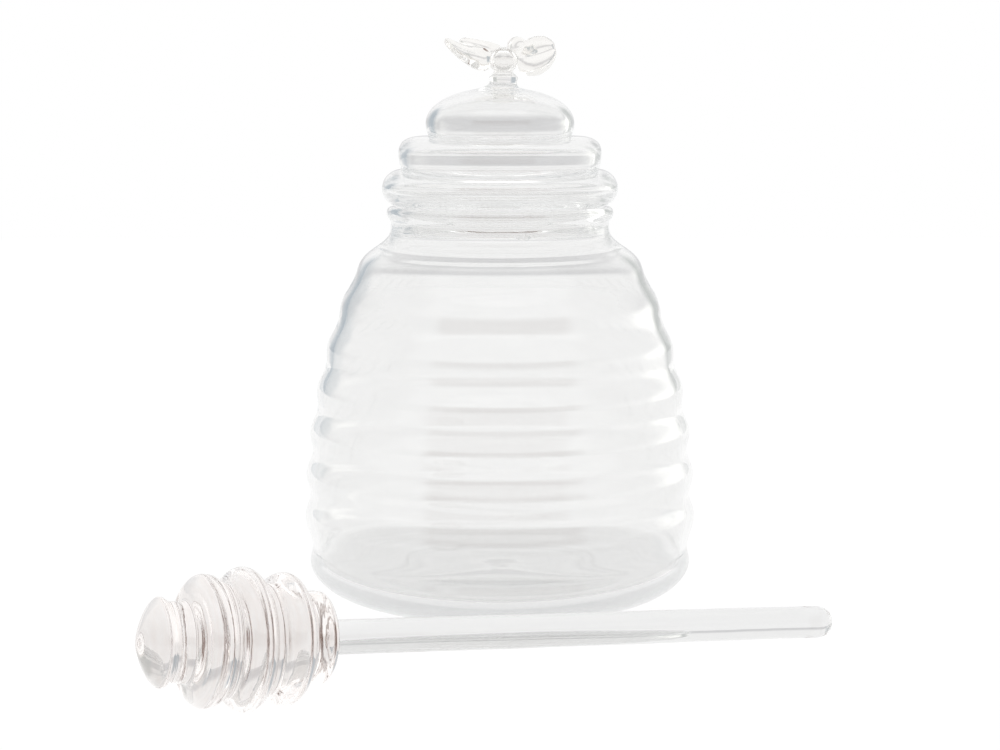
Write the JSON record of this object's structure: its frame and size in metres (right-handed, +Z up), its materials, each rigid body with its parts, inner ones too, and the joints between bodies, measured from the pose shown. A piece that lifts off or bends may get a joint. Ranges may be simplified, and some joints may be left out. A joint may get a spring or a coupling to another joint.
{
  "type": "honey pot",
  "caption": "Clear blown glass honey pot shaped like a ribbed beehive, with a lift-off lid topped by a glass bee, and a ribbed glass honey dipper lying beside it.",
  "frame": {"origin": "centre of the pot's flat foot, on the table", "axes": "+Z up along the pot's axis; -Y to the front, where the dipper lies with its head to -X"},
  "size_m": [0.1561, 0.1822, 0.1456],
  "materials": {
    "blown_glass": "clear, polished, thin blown wall",
    "worked_glass": "clear, polished, lampworked",
    "solid_glass": "clear, polished, solid"
  },
  "bodies": {
    "pot": {"pot_body": "blown_glass"},
    "lid": {"lid_shell": "blown_glass", "finial_stem": "worked_glass", "bee_thorax": "worked_glass", "bee_head": "worked_glass", "bee_abdomen": "worked_glass", "wing_left_front": "worked_glass", "wing_left_back": "worked_glass", "wing_right_front": "worked_glass", "wing_right_back": "worked_glass"},
    "dipper": {"dipper_rod": "solid_glass", "dipper_head": "solid_glass"}
  },
  "joints": [
    {"name": "lid_lift", "type": "slide", "parent": "pot", "child": "lid", "axis": [0, 0, 1], "range_m": [0, 0.06]},
    {"name": "dipper_lift", "type": "slide", "parent": "pot", "child": "dipper", "axis": [0, 0, 1], "range_m": [0, 0.15]}
  ]
}
